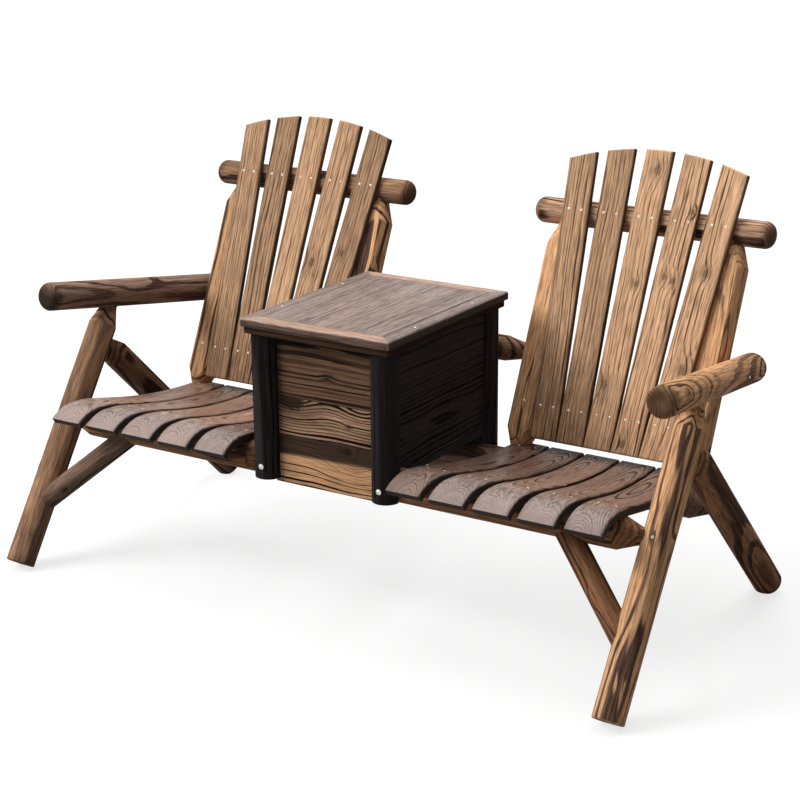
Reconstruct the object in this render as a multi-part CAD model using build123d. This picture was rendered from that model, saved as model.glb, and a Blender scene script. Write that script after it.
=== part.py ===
from build123d import *
from math import cos, radians, sin, sqrt
import os

# A bench of two fan-back log chairs with a lidded box between them, in millimetres.
# X runs across the bench, Y from front to back and Z up. The origin is on the floor,
# in the middle of the box round the feet. Right means +X.

# Log stock
LEG_D = 68.0
RAIL_D = 76.0
BACK_LOG_D = 76.0           # back posts and the lower bars between them
TOP_BAR_D = 61.0
ARM_D = 68.0
BRACE_D = 52.0
STRETCHER_D = 60.0
BOX_POST_D = 63.0
TENON_D = 38.0
SHOULDER_LENGTH = 50.0      # cone from a log's full diameter down to its tenon
ARM_END_ROUND = 16.0
BAR_END_ROUND = 22.0
FOOT_ROUND = 3.0
FOOT_FLAT = 5.0             # the square-cut feet are trimmed level this far up their lowest edge
FIT_GAP = 0.2               # clearance round tenons, laps, notches and planed seats

# Legs and rails
LEG_OUT = 316.0             # legs' axes outside the middle of each chair
FRONT_FOOT_Y = -419.0
FRONT_LEG_LEAN = 33.6       # degrees from upright, top leaning back
REAR_FOOT_Y = 426.0
FRONT_RAIL_Z = 332.5
FRONT_RAIL_AHEAD = 10.0     # rail axis in front of the front legs' axes
RAIL_SPACING = 358.0        # front rail axis to rear rail axis
REAR_RAIL_BEHIND = 15.0     # rail axis behind the rear legs' axes
BRACE_FOOT_Z = 138.0        # where the brace meets the front leg's axis
BRACE_IN = 218.0            # where the brace meets the front rail's axis, inside the leg's axis

# Armrests
ARM_FRONT_Z = 598.0         # height where the front leg meets the arm
ARM_INSET = 8.0             # arm axis inside the leg's axis at that place
ARM_REAR_Z = 552.0          # height where the arm passes the outer back post
ARM_NOTCH = 5.0             # depth of the notch that seats on the back post
ARM_FRONT_REACH = 230.0
ARM_REAR_REACH = 115.0

# Seats
CHAIR_X = 468.0
SLAT_COUNT = 5
SEAT_SLAT_W = 85.0
SEAT_SLAT_T = 18.0
SEAT_FRONT_PITCH = 106.0
SEAT_REAR_PITCH = 89.0
PLANED_DEPTH = 3.0          # how deep the rails are planed under the slats
SEAT_CREST_AHEAD = 62.0     # crest of the seat in front of the front rail
NOSE_RADIUS = 100.0
NOSE_SWEEP = 40.0           # degrees
CROWN_RADIUS = 320.0
SEAT_PITCH = 12.6           # degrees, the steepest slope down to the back
SEAT_RUN = 83.0             # straight stretch behind the crown
HOLLOW_RADIUS = 1250.0
SEAT_REAR_RISE = 1.0        # degrees
SEAT_SLAT_ROUND = 4.0
POST_NOTCH_GAP = 1.0        # room round a back post where a seat slat is notched for it

# Backs, measured up the recline from the rear rail's axis
BACK_RECLINE = 24.3         # degrees from upright
BACK_POST_X = 210.0         # from the middle of the chair
TOP_BAR_UP = 604.0
TOP_BAR_LENGTH = 588.0
LOWER_BAR_UP = 146.0
STRETCHER_UP = 267.0
BAR_FLAT = 29.0             # log axis to the flat that the slats lie on
BACK_SLAT_W = 67.6
BACK_SLAT_T = 13.0
BACK_SLAT_BOTTOM = 69.0
SLAT_RISE = 158.0           # top of the middle slat above the top bar's axis
BACK_BOTTOM_PITCH = 68.4
BACK_TOP_PITCH = 94.8
BACK_CROWN_RADIUS = 650.0
BACK_SLAT_ROUND = 4.0

# Box between the chairs
BOX_POST_X = 157.0
BOX_TOP_Z = 639.0
FRONT_LAP = 33.0            # front rail axis to the flat that the front posts lap
REAR_LAP = 30.0             # rear rail axis to the flat that the rear posts lap
POST_FOOT_DROP = 29.0       # post ends below the rail axes
APRON_DROP = 38.0           # foot of the lowest front board below the front rail's axis
LOWER_BOARD_H = 115.0       # lowest front board, which covers the front rail
MIDDLE_BOARD_H = 89.0
BOARD_T = 16.0
BOARD_GROOVE = 10.0         # how far the boards run into the posts
BOARD_SEAM = 0.8
BOARD_ROUND = 2.0
SIDE_BOARD_OUT = 14.0       # outer face of the side boards outside the posts' axes
SKIRT_DROP = 27.0           # lowest boards at the sides and back below the front rail's top

# Lid
LID_OVERHANG_X = 7.5        # past the posts' outer sides
LID_OVERHANG_Y = 14.0
LID_T = 17.0
LID_STRIP_W = 38.0
LID_ROUND = 5.0
LID_CORNER = 9.0
PLANK_COUNT = 5
PLANK_SEAM = 0.6
SUBFRAME_T = 18.0
SUBFRAME_INSET = 9.0
SUBFRAME_END_W = 44.0
SUBFRAME_SIDE_W = 34.0
SUBFRAME_ROUND = 4.0
BATTEN_W = 30.0
BATTEN_DROP = 22.0          # below the box's top, to keep the lid in its place
LID_PLAY = 3.0              # room between the battens and the inside of the box

# Ice bucket
CLEAT_W = 20.0
CLEAT_H = 25.0
CLEAT_DROP = 44.0           # top of the cleats below the box's top
BUCKET_PLAY = 3.0
BUCKET_WALL = 2.5
BUCKET_RIM_OVER = 11.0      # how far the rim lies on each cleat
BUCKET_DEPTH = 195.0
BUCKET_DRAFT = 14.0         # the floor is this much smaller on each side
BUCKET_CORNER = 30.0
RIM_T = 3.0

# Post bolts
BOLT_D = 6.0
BOLT_LENGTH = 75.0
BOLT_HEAD_D = 13.0
BOLT_HEAD_H = 4.0
SPOT_DEPTH = 1.0            # flat spot cut into a round post for a bolt's head
SPOT_GAP = 1.0

# Places worked out from the sizes above
leg_r = LEG_D / 2
rail_r = RAIL_D / 2
post_r = BOX_POST_D / 2
leg_x = CHAIR_X + LEG_OUT
front_leg_axis = Vector(0, sin(radians(FRONT_LEG_LEAN)), cos(radians(FRONT_LEG_LEAN)))


def on_front_leg(z):
    """Point on the front leg's axis at a height."""
    return Vector(leg_x, FRONT_FOOT_Y + z * front_leg_axis.Y / front_leg_axis.Z, z)


front_rail_y = on_front_leg(FRONT_RAIL_Z).Y - FRONT_RAIL_AHEAD
rear_rail_y = front_rail_y + RAIL_SPACING

# Top of the seat at its crest, from the planed seat on the front rail
crown_under = CROWN_RADIUS - SEAT_SLAT_T
crest_y = front_rail_y - SEAT_CREST_AHEAD
crest_z = (FRONT_RAIL_Z + rail_r - PLANED_DEPTH + CROWN_RADIUS
           - sqrt(crown_under ** 2 - SEAT_CREST_AHEAD ** 2))


def seat_line(depth):
    """Edges of the seat's contour, this far under its top face, from nose to rear."""
    crest = Vector(crest_y, crest_z - depth)
    nose = JernArc(crest, (-1, 0), NOSE_RADIUS - depth, NOSE_SWEEP)
    crown = JernArc(crest, (1, 0), CROWN_RADIUS - depth, -SEAT_PITCH)
    run = Line(crown @ 1, crown @ 1 + (crown % 1) * SEAT_RUN)
    hollow = JernArc(run @ 1, run % 1, HOLLOW_RADIUS + depth, SEAT_PITCH + SEAT_REAR_RISE)
    return [nose, crown, run, hollow]


def height_on(arc, y):
    """Height of a hollow arc at a distance from the front."""
    middle = arc.arc_center
    return middle.Y - sqrt(arc.radius ** 2 - (y - middle.X) ** 2)


rear_rail_z = (height_on(seat_line(SEAT_SLAT_T)[-1], rear_rail_y)
               + PLANED_DEPTH - rail_r)
rear_leg_at_rail = Vector(leg_x, rear_rail_y - REAR_RAIL_BEHIND, rear_rail_z)
rear_foot = Vector(leg_x, REAR_FOOT_Y, 0)
rear_leg_axis = (rear_foot - rear_leg_at_rail).normalized()


def legs_meet():
    """Point where the rear leg's axis crosses the front leg's axis."""
    front_slope = front_leg_axis.Y / front_leg_axis.Z
    rear_slope = rear_leg_axis.Y / rear_leg_axis.Z
    return on_front_leg((REAR_FOOT_Y - FRONT_FOOT_Y) / (front_slope - rear_slope))


def foot_height(axis):
    """Height of the middle of a leg's square-cut end, whose lowest edge is trimmed level."""
    return leg_r * abs(axis.Y) - FOOT_FLAT


# The right chair's back: X across, Y up the recline and Z out of its front
recline = radians(BACK_RECLINE)
back = Plane(
    origin=(CHAIR_X, rear_rail_y, rear_rail_z),
    x_dir=(1, 0, 0),
    z_dir=(0, -cos(recline), sin(recline)),
)
back_slat_top = TOP_BAR_UP + SLAT_RISE


def on_back(across, up):
    """Point in the plane of the right back's log axes."""
    return back.from_local_coords(Vector(across, up, 0))


def turned(start, end, outline):
    """Turn an outline of (radius, distance) points about the line from start to end."""
    blank = revolve(make_face(Plane.XZ * Polyline(*outline, close=True)), Axis.Z)
    return Plane(origin=start, z_dir=end - start) * blank


def log(start, end, diameter, start_neck=None, end_neck=None, grow=0):
    """Log from start to end.

    A neck is the length of tenon at that end, from the axis of the log that receives it to
    the shoulder. Without one the end is cut square. Grown, the log is the tool for its mortise.
    """
    radius = diameter / 2 + grow
    tenon = TENON_D / 2 + grow
    length = (end - start).length
    outline = [(0, -grow)]
    if start_neck:
        outline += [(tenon, -grow), (tenon, start_neck), (radius, start_neck + SHOULDER_LENGTH)]
    else:
        outline += [(radius, -grow)]
    if end_neck:
        shoulder = length - end_neck
        outline += [(radius, shoulder - SHOULDER_LENGTH), (tenon, shoulder), (tenon, length + grow)]
    else:
        outline += [(radius, length + grow)]
    outline += [(0, length + grow)]
    return turned(start, end, outline)


def rounded_log(start, end, diameter, rounding):
    """Log with a rounded edge at both ends."""
    body = log(start, end, diameter)
    return fillet(body.edges().filter_by(GeomType.CIRCLE), rounding)


def neck(axis, other_axis, other_diameter):
    """Distance along a log from the axis of the log it enters to that log's surface."""
    return other_diameter / 2 / sin(radians(axis.get_angle(other_axis)))


def mirrored(shape):
    """The same piece on the left side."""
    return mirror(shape, about=Plane.YZ)


def block(x0, x1, y0, y1, z0, z1):
    """Box between two corners."""
    return Pos(x0, y0, z0) * Box(x1 - x0, y1 - y0, z1 - z0, align=(Align.MIN, Align.MIN, Align.MIN))


def eased(board, axis, radius):
    """Board with its edges along an axis rounded."""
    return fillet(board.edges().filter_by(axis), radius)


# Logs of the frame, each as the values that make both the log and its mortises

x_axis = Vector(1, 0, 0)
arm_joint = on_front_leg(ARM_FRONT_Z) - x_axis * ARM_INSET
outer_post_up = (ARM_REAR_Z - rear_rail_z) / cos(recline)
arm_past_post = (on_back(BACK_POST_X, outer_post_up)
                 + x_axis * (BACK_LOG_D / 2 + ARM_D / 2 - ARM_NOTCH))
arm_axis = (arm_past_post - arm_joint).normalized()

front_rail_values = dict(
    start=Vector(-leg_x, front_rail_y, FRONT_RAIL_Z),
    end=Vector(leg_x, front_rail_y, FRONT_RAIL_Z),
    diameter=RAIL_D,
    start_neck=leg_r,
    end_neck=leg_r,
)
rear_rail_values = dict(
    start=Vector(-leg_x, rear_rail_y, rear_rail_z),
    end=Vector(leg_x, rear_rail_y, rear_rail_z),
    diameter=RAIL_D,
    start_neck=leg_r,
    end_neck=leg_r,
)
front_leg_values = dict(
    start=on_front_leg(foot_height(front_leg_axis)),
    end=on_front_leg(ARM_FRONT_Z),
    diameter=LEG_D,
    end_neck=neck(front_leg_axis, arm_axis, ARM_D),
)
rear_leg_values = dict(
    start=legs_meet(),
    end=rear_foot + rear_leg_axis * (foot_height(rear_leg_axis) / rear_leg_axis.Z),
    diameter=LEG_D,
    start_neck=neck(rear_leg_axis, front_leg_axis, LEG_D),
)
stretcher_end = on_back(-BACK_POST_X, STRETCHER_UP)
stretcher_values = dict(
    start=Vector(-stretcher_end.X, stretcher_end.Y, stretcher_end.Z),
    end=stretcher_end,
    diameter=STRETCHER_D,
    start_neck=BACK_LOG_D / 2,
    end_neck=BACK_LOG_D / 2,
)
lower_bar_values = dict(
    start=on_back(-BACK_POST_X, LOWER_BAR_UP),
    end=on_back(BACK_POST_X, LOWER_BAR_UP),
    diameter=BACK_LOG_D,
    start_neck=BACK_LOG_D / 2,
    end_neck=BACK_LOG_D / 2,
)


def back_post_values(across):
    """Values of a back post between the rear rail and the top bar."""
    return dict(
        start=on_back(across, 0),
        end=on_back(across, TOP_BAR_UP),
        diameter=BACK_LOG_D,
        start_neck=rail_r,
        end_neck=TOP_BAR_D / 2,
    )


inner_post_values = back_post_values(-BACK_POST_X)
outer_post_values = back_post_values(BACK_POST_X)


def tool(values):
    """Tool that cuts the mortises for a log."""
    return log(**values, grow=FIT_GAP)


# Seat

def seat_blank(lowered=0):
    """The seat's contour run across a whole chair, from which its slats are cut."""
    top = seat_line(0)
    under = seat_line(SEAT_SLAT_T)
    ends = [Line(top[0] @ 1, under[0] @ 1), Line(top[-1] @ 1, under[-1] @ 1)]
    width = SEAT_FRONT_PITCH * SLAT_COUNT
    face = Plane.YZ * make_face(top + under + ends)
    return Pos(CHAIR_X - width / 2, 0, -lowered) * extrude(face, width)


def slat_strip(number):
    """Upright prism over one fanned slat, from the front of the seat to its rear."""
    step = number - (SLAT_COUNT - 1) / 2
    ends = seat_line(0)
    front_y = (ends[0] @ 1).X
    rear_y = (ends[-1] @ 1).X
    front_x = CHAIR_X + step * SEAT_FRONT_PITCH
    rear_x = CHAIR_X + step * SEAT_REAR_PITCH
    half = SEAT_SLAT_W / 2
    outline = Polyline(
        (front_x - half, front_y),
        (front_x + half, front_y),
        (rear_x + half, rear_y),
        (rear_x - half, rear_y),
        close=True,
    )
    return extrude(make_face(outline), crest_z + SEAT_SLAT_T)


def seat_slat(number):
    """Curved seat slat, notched where a back post stands in its way."""
    slat = seat_blank() & slat_strip(number)
    sides = slat.faces().sort_by(Axis.X)
    top_edges = [e for face in (sides[0], sides[-1]) for e in face.edges() if upper_edge(e, face)]
    slat = fillet(top_edges, SEAT_SLAT_ROUND)
    for values in (inner_post_values, outer_post_values):
        slat = slat - log(**values, grow=POST_NOTCH_GAP)
    return slat


def upper_edge(edge, face):
    """Whether an edge of a slat's side belongs to its top."""
    middle = edge.position_at(0.5)
    probe = middle - Vector(0, 0, SEAT_SLAT_T / 2)
    crosswise = edge.length < SEAT_SLAT_T * 1.1
    return not crosswise and face.is_inside(probe)


# Backs

def back_slat(number):
    """Fanned back slat whose top follows the crown of the back."""
    step = number - (SLAT_COUNT - 1) / 2
    foot = step * BACK_BOTTOM_PITCH
    head = step * BACK_TOP_PITCH
    half = BACK_SLAT_W / 2
    strip = make_face(Polyline(
        (foot - half, BACK_SLAT_BOTTOM),
        (foot + half, BACK_SLAT_BOTTOM),
        (head + half, back_slat_top),
        (head - half, back_slat_top),
        close=True,
    ))
    crown = Pos(0, back_slat_top - BACK_CROWN_RADIUS) * Circle(BACK_CROWN_RADIUS)
    slat = Pos(0, 0, BAR_FLAT) * extrude(strip & crown, BACK_SLAT_T)
    slat = fillet(slat.faces().sort_by(Axis.Z)[-1].edges(), BACK_SLAT_ROUND)
    return back * slat


def flattened(piece):
    """A log of the back with the flat on its front that the slats lie on."""
    return split(piece, bisect_by=back.offset(BAR_FLAT), keep=Keep.BOTTOM)


def top_bar():
    """Bar across the top of the posts, bored from below for their tenons."""
    start = on_back(-TOP_BAR_LENGTH / 2, TOP_BAR_UP)
    end = on_back(TOP_BAR_LENGTH / 2, TOP_BAR_UP)
    bar = rounded_log(start, end, TOP_BAR_D, BAR_END_ROUND)
    return flattened(bar) - tool(inner_post_values) - tool(outer_post_values)


def back_post(values):
    """Back post with the mortises for the lower bar and the stretcher."""
    return flattened(log(**values)) - tool(lower_bar_values) - tool(stretcher_values)


# Legs and arms

def on_floor(leg):
    """Leg with the edge of its square-cut foot eased and trimmed level with the floor."""
    rim = leg.edges().filter_by(GeomType.CIRCLE).sort_by(Axis.Z)[0]
    return split(fillet(rim, FOOT_ROUND), bisect_by=Plane.XY, keep=Keep.TOP)


def front_leg():
    """Front leg with the mortises for the front rail and the rear leg."""
    return on_floor(log(**front_leg_values)) - tool(front_rail_values) - tool(rear_leg_values)


def rear_leg():
    """Rear leg with the mortise for the rear rail."""
    return on_floor(log(**rear_leg_values)) - tool(rear_rail_values)


def leg_brace():
    """Brace scribed to the front leg at its foot and to the front rail at its head."""
    foot = on_front_leg(BRACE_FOOT_Z)
    head = Vector(leg_x - BRACE_IN, front_rail_y, FRONT_RAIL_Z)
    return log(foot, head, BRACE_D) - tool(front_leg_values) - tool(front_rail_values)


def armrest():
    """Armrest bored for the front leg and notched over the outer back post."""
    start = arm_joint - arm_axis * ARM_FRONT_REACH
    end = arm_past_post + arm_axis * ARM_REAR_REACH
    arm = rounded_log(start, end, ARM_D, ARM_END_ROUND)
    return arm - tool(front_leg_values) - tool(outer_post_values)


# Box

front_post_y = front_rail_y - FRONT_LAP
rear_post_y = rear_rail_y + REAR_LAP
board_foot_z = FRONT_RAIL_Z + rail_r + FIT_GAP
skirt_foot_z = board_foot_z - SKIRT_DROP
inside_x = BOX_POST_X + SIDE_BOARD_OUT - BOARD_T
inside_front_y = front_post_y + BOARD_T
inside_rear_y = rear_post_y - BOARD_T
between_posts_x = BOX_POST_X - post_r
front_post_back = front_post_y + post_r
rear_post_front = rear_post_y - post_r
apron_foot_z = FRONT_RAIL_Z - APRON_DROP
lower_seam_z = apron_foot_z + LOWER_BOARD_H
upper_seam_z = lower_seam_z + MIDDLE_BOARD_H
front_heights = (apron_foot_z, lower_seam_z, upper_seam_z, BOX_TOP_Z)
side_heights = (skirt_foot_z, board_foot_z, upper_seam_z, BOX_TOP_Z)


def front_panel(z0, z1, grow=0):
    """Board, or the groove for it, between the front posts."""
    half = between_posts_x + BOARD_GROOVE + grow
    return block(-half, half, front_post_y - grow, inside_front_y + grow, z0 - grow, z1 + grow)


def rear_panel(z0, z1, grow=0):
    """Board, or the groove for it, between the rear posts."""
    half = between_posts_x + BOARD_GROOVE + grow
    return block(-half, half, inside_rear_y - grow, rear_post_y + grow, z0 - grow, z1 + grow)


def side_panel(z0, z1, grow=0, y0=front_post_back - BOARD_GROOVE):
    """Board, or the groove for it, between the right posts."""
    y1 = rear_post_front + BOARD_GROOVE
    return block(inside_x - grow, inside_x + BOARD_T + grow, y0 - grow, y1 + grow, z0 - grow, z1 + grow)


def front_board(number):
    """One board of the box's front. The lowest is let into the front rail."""
    z0, z1 = front_heights[number:number + 2]
    return eased(front_panel(z0, z1 - BOARD_SEAM), Axis.X, BOARD_ROUND)


def rear_boards():
    """Boards of the box's back, down to a skirt over the rear rail."""
    return [eased(rear_panel(z0, z1 - BOARD_SEAM), Axis.X, BOARD_ROUND)
            for z0, z1 in zip(side_heights, side_heights[1:])]


def side_boards():
    """Boards of the box's right side, over a skirt that is scribed to the front rail."""
    boards = [eased(side_panel(z0, z1 - BOARD_SEAM), Axis.Y, BOARD_ROUND)
              for z0, z1 in zip(side_heights[1:], side_heights[2:])]
    skirt = side_panel(skirt_foot_z, board_foot_z - BOARD_SEAM, y0=front_rail_y)
    return [eased(skirt, Axis.Y, BOARD_ROUND) - tool(front_rail_values), *boards]


def box_post(y, rail_z, panel, lap):
    """Post of the box's right side, lapped over a rail and grooved for the boards."""
    post = Pos(BOX_POST_X, y, 0) * Cylinder(
        post_r, BOX_TOP_Z - rail_z + POST_FOOT_DROP, align=(Align.CENTER, Align.CENTER, Align.MAX))
    post = Pos(0, 0, BOX_TOP_Z) * post
    return post - lap - panel - side_panel(skirt_foot_z, BOX_TOP_Z, FIT_GAP)


def front_box_post():
    """Right front post, with its back half cut away where it laps the front rail."""
    lap = block(BOX_POST_X - BOX_POST_D, BOX_POST_X + BOX_POST_D, front_post_y,
                front_post_y + BOX_POST_D, 0, board_foot_z)
    panel = front_panel(board_foot_z, BOX_TOP_Z, FIT_GAP)
    return box_post(front_post_y, FRONT_RAIL_Z, panel, lap) - bolt_holes()


def rear_box_post():
    """Right rear post, with its front half cut away where it laps the rear rail."""
    lap = block(BOX_POST_X - BOX_POST_D, BOX_POST_X + BOX_POST_D, rear_post_y - BOX_POST_D,
                rear_post_y, 0, rear_rail_z + rail_r + FIT_GAP)
    panel = rear_panel(skirt_foot_z, BOX_TOP_Z, FIT_GAP)
    return box_post(rear_post_y, rear_rail_z, panel, lap) - bolt_holes()


# Rails

def front_rail():
    """Front rail, planed under the slats, flat at the front posts and let in for the lowest board."""
    half = BOX_POST_X + BOX_POST_D
    flat = block(-half, half, front_post_y - RAIL_D, front_post_y, 0, FRONT_RAIL_Z + RAIL_D)
    board = front_panel(0, FRONT_RAIL_Z + RAIL_D, FIT_GAP)
    seat = seat_blank(lowered=FIT_GAP)
    return log(**front_rail_values) - flat - board - seat - mirrored(seat) - all_bolt_holes()


def rear_rail():
    """Rear rail, planed under the slats, flat at the rear posts and bored for the back posts."""
    half = BOX_POST_X + BOX_POST_D
    flat = block(-half, half, rear_post_y, rear_post_y + RAIL_D, 0, rear_rail_z + RAIL_D)
    seat = seat_blank(lowered=FIT_GAP)
    rail = log(**rear_rail_values) - flat - seat - mirrored(seat) - all_bolt_holes()
    for values in (inner_post_values, outer_post_values):
        rail = rail - tool(values) - mirrored(tool(values))
    return rail


# Post bolts

def bolt_line(front):
    """Plane under the head of a right post's bolt, with Z along its shank."""
    if front:
        return Plane(origin=(BOX_POST_X, front_post_y - post_r + SPOT_DEPTH, FRONT_RAIL_Z), z_dir=(0, 1, 0))
    return Plane(origin=(BOX_POST_X, rear_post_y + post_r - SPOT_DEPTH, rear_rail_z), z_dir=(0, -1, 0))


def bolt_hole(front):
    """Hole for a right post's bolt, with the flat spot for its head."""
    upward = (Align.CENTER, Align.CENTER, Align.MIN)
    hole = Cylinder(BOLT_D / 2 + FIT_GAP, BOLT_LENGTH + FIT_GAP, align=upward)
    spot = Pos(0, 0, -SPOT_DEPTH) * Cylinder(BOLT_HEAD_D / 2 + SPOT_GAP, SPOT_DEPTH, align=upward)
    return bolt_line(front) * (hole + spot)


def bolt_holes():
    """Holes for both bolts on the right side."""
    return bolt_hole(True) + bolt_hole(False)


def all_bolt_holes():
    """Holes for the bolts on both sides."""
    return bolt_holes() + mirrored(bolt_holes())


def post_bolt(front):
    """Dome-headed bolt on the right side."""
    head_r = BOLT_HEAD_D / 2
    dome_r = (head_r ** 2 + BOLT_HEAD_H ** 2) / (2 * BOLT_HEAD_H)
    dome = RadiusArc((0, -BOLT_HEAD_H), (head_r, 0), dome_r)
    rest = Polyline((head_r, 0), (BOLT_D / 2, 0), (BOLT_D / 2, BOLT_LENGTH), (0, BOLT_LENGTH), (0, -BOLT_HEAD_H))
    return bolt_line(front) * revolve(make_face(Plane.XZ * (dome + rest)), Axis.Z)


def post_bolts():
    """The four bolts that hold the box's posts to the rails."""
    right = [post_bolt(True), post_bolt(False)]
    return right + [mirrored(bolt) for bolt in right]


# Lid

lid_x = BOX_POST_X + post_r + LID_OVERHANG_X
lid_front_y = front_post_y - post_r - LID_OVERHANG_Y
lid_rear_y = rear_post_y + post_r + LID_OVERHANG_Y
lid_mid_y = (lid_front_y + lid_rear_y) / 2
lid_foot_z = BOX_TOP_Z + SUBFRAME_T
field_x = lid_x - LID_STRIP_W
field_front_y = lid_front_y + LID_STRIP_W
field_rear_y = lid_rear_y - LID_STRIP_W


def lid_plate():
    """The whole top of the lid, with rounded corners and a rounded upper edge."""
    outline = Pos(0, lid_mid_y) * RectangleRounded(2 * lid_x, lid_rear_y - lid_front_y, LID_CORNER)
    plate = Pos(0, 0, lid_foot_z) * extrude(outline, LID_T)
    return fillet(plate.faces().sort_by(Axis.Z)[-1].edges(), LID_ROUND)


def mitred_strip(points):
    """Strip of the lid's mitred frame."""
    return lid_plate() & Pos(0, 0, lid_foot_z) * extrude(make_face(Polyline(*points, close=True)), LID_T)


def lid_front_strip():
    """Front strip of the lid."""
    points = [(-lid_x, lid_front_y), (lid_x, lid_front_y), (field_x, field_front_y), (-field_x, field_front_y)]
    return mitred_strip(points)


def lid_rear_strip():
    """Rear strip of the lid."""
    points = [(-lid_x, lid_rear_y), (lid_x, lid_rear_y), (field_x, field_rear_y), (-field_x, field_rear_y)]
    return mitred_strip(points)


def lid_side_strip():
    """Right strip of the lid."""
    points = [(lid_x, lid_front_y), (lid_x, lid_rear_y), (field_x, field_rear_y), (field_x, field_front_y)]
    return mitred_strip(points)


def lid_planks():
    """Planks inside the lid's frame, running from front to back."""
    pitch = 2 * field_x / PLANK_COUNT
    planks = []
    for number in range(PLANK_COUNT):
        x0 = -field_x + number * pitch
        planks.append(block(x0, x0 + pitch - PLANK_SEAM, field_front_y, field_rear_y,
                            lid_foot_z, lid_foot_z + LID_T))
    return planks


def lid_subframe():
    """Four rails under the lid that rest on the posts."""
    half = lid_x - SUBFRAME_INSET
    y0 = lid_front_y + SUBFRAME_INSET
    y1 = lid_rear_y - SUBFRAME_INSET
    front = block(-half, half, y0, y0 + SUBFRAME_END_W, BOX_TOP_Z, lid_foot_z)
    rear = block(-half, half, y1 - SUBFRAME_END_W, y1, BOX_TOP_Z, lid_foot_z)
    side = block(half - SUBFRAME_SIDE_W, half, y0 + SUBFRAME_END_W, y1 - SUBFRAME_END_W,
                 BOX_TOP_Z, lid_foot_z)
    front = fillet(front.edges().filter_by(Axis.X).sort_by(Axis.Y)[:1], SUBFRAME_ROUND)
    rear = fillet(rear.edges().filter_by(Axis.X).sort_by(Axis.Y)[-1:], SUBFRAME_ROUND)
    side = fillet(side.edges().filter_by(Axis.Y).sort_by(Axis.X)[-1:], SUBFRAME_ROUND)
    return [front, rear, side, mirrored(side)]


def lid_battens():
    """Two battens across the planks, which drop inside the box."""
    half = between_posts_x - LID_PLAY
    fronts = (inside_front_y + LID_PLAY, inside_rear_y - LID_PLAY - BATTEN_W)
    return [block(-half, half, y0, y0 + BATTEN_W, BOX_TOP_Z - BATTEN_DROP, lid_foot_z) for y0 in fronts]


# Ice bucket

cleat_top_z = BOX_TOP_Z - CLEAT_DROP


def bucket_cleat():
    """Right cleat that the bucket's rim lies on."""
    return block(inside_x - CLEAT_W, inside_x, front_post_back, rear_post_front,
                 cleat_top_z - CLEAT_H, cleat_top_z)


def bucket_section(inset, z):
    """Rounded outline of the bucket at a height, this far inside its mouth."""
    width = 2 * (inside_x - CLEAT_W - BUCKET_PLAY - inset)
    length = rear_post_front - front_post_back - 2 * (BUCKET_PLAY + BUCKET_RIM_OVER + inset)
    middle = (front_post_back + rear_post_front) / 2
    return Pos(0, middle, z) * RectangleRounded(width, length, BUCKET_CORNER - min(inset, BUCKET_DRAFT))


def ice_bucket():
    """Tapered bucket that hangs by its rim."""
    foot = cleat_top_z - BUCKET_DEPTH
    shell = loft([bucket_section(BUCKET_DRAFT, foot), bucket_section(0, cleat_top_z)])
    hollow = loft([bucket_section(BUCKET_DRAFT + BUCKET_WALL, foot + BUCKET_WALL),
                   bucket_section(BUCKET_WALL, cleat_top_z + RIM_T)])
    rim = extrude(bucket_section(-BUCKET_RIM_OVER, cleat_top_z), RIM_T)
    return shell + rim - hollow


def write(name, pieces):
    """Write one node, made of one solid or of several."""
    solids = [s for piece in pieces for s in piece.solids()]
    shape = solids[0] if len(solids) == 1 else Compound(children=solids)
    export_step(shape, f"parts/{name}.step")


def write_pair(name, pieces):
    """Write a piece of the right side and its mirror image."""
    write(f"right_{name}", pieces)
    write(f"left_{name}", [mirrored(piece) for piece in pieces])


os.makedirs("parts", exist_ok=True)
write("front_rail", [front_rail()])
write("rear_rail", [rear_rail()])
write("back_stretcher", [log(**stretcher_values)])
write_pair("front_leg", [front_leg()])
write_pair("rear_leg", [rear_leg()])
write_pair("leg_brace", [leg_brace()])
write_pair("armrest", [armrest()])
write_pair("inner_back_post", [back_post(inner_post_values)])
write_pair("outer_back_post", [back_post(outer_post_values)])
write_pair("back_top_bar", [top_bar()])
write_pair("back_lower_bar", [flattened(log(**lower_bar_values))])
for slat in range(SLAT_COUNT):
    write_pair(f"seat_slat_{slat + 1}", [seat_slat(slat)])
    write_pair(f"back_slat_{slat + 1}", [back_slat(slat)])
write_pair("front_box_post", [front_box_post()])
write_pair("rear_box_post", [rear_box_post()])
write("box_front_lower_board", [front_board(0)])
write("box_front_middle_board", [front_board(1)])
write("box_front_upper_board", [front_board(2)])
write("box_rear_boards", rear_boards())
write_pair("box_side_boards", side_boards())
write("post_bolts", post_bolts())
write("lid_front_strip", [lid_front_strip()])
write("lid_rear_strip", [lid_rear_strip()])
write_pair("lid_side_strip", [lid_side_strip()])
write("lid_planks", lid_planks())
write("lid_subframe", lid_subframe())
write("lid_battens", lid_battens())
write_pair("bucket_cleat", [bucket_cleat()])
write("ice_bucket", [ice_bucket()])
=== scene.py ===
"""Looks of a double log chair with a lidded box between its seats: charred wood, screws and steel."""

import itertools
import math
import random

import bpy
import numpy as np
from mathutils import Matrix, Vector


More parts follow.
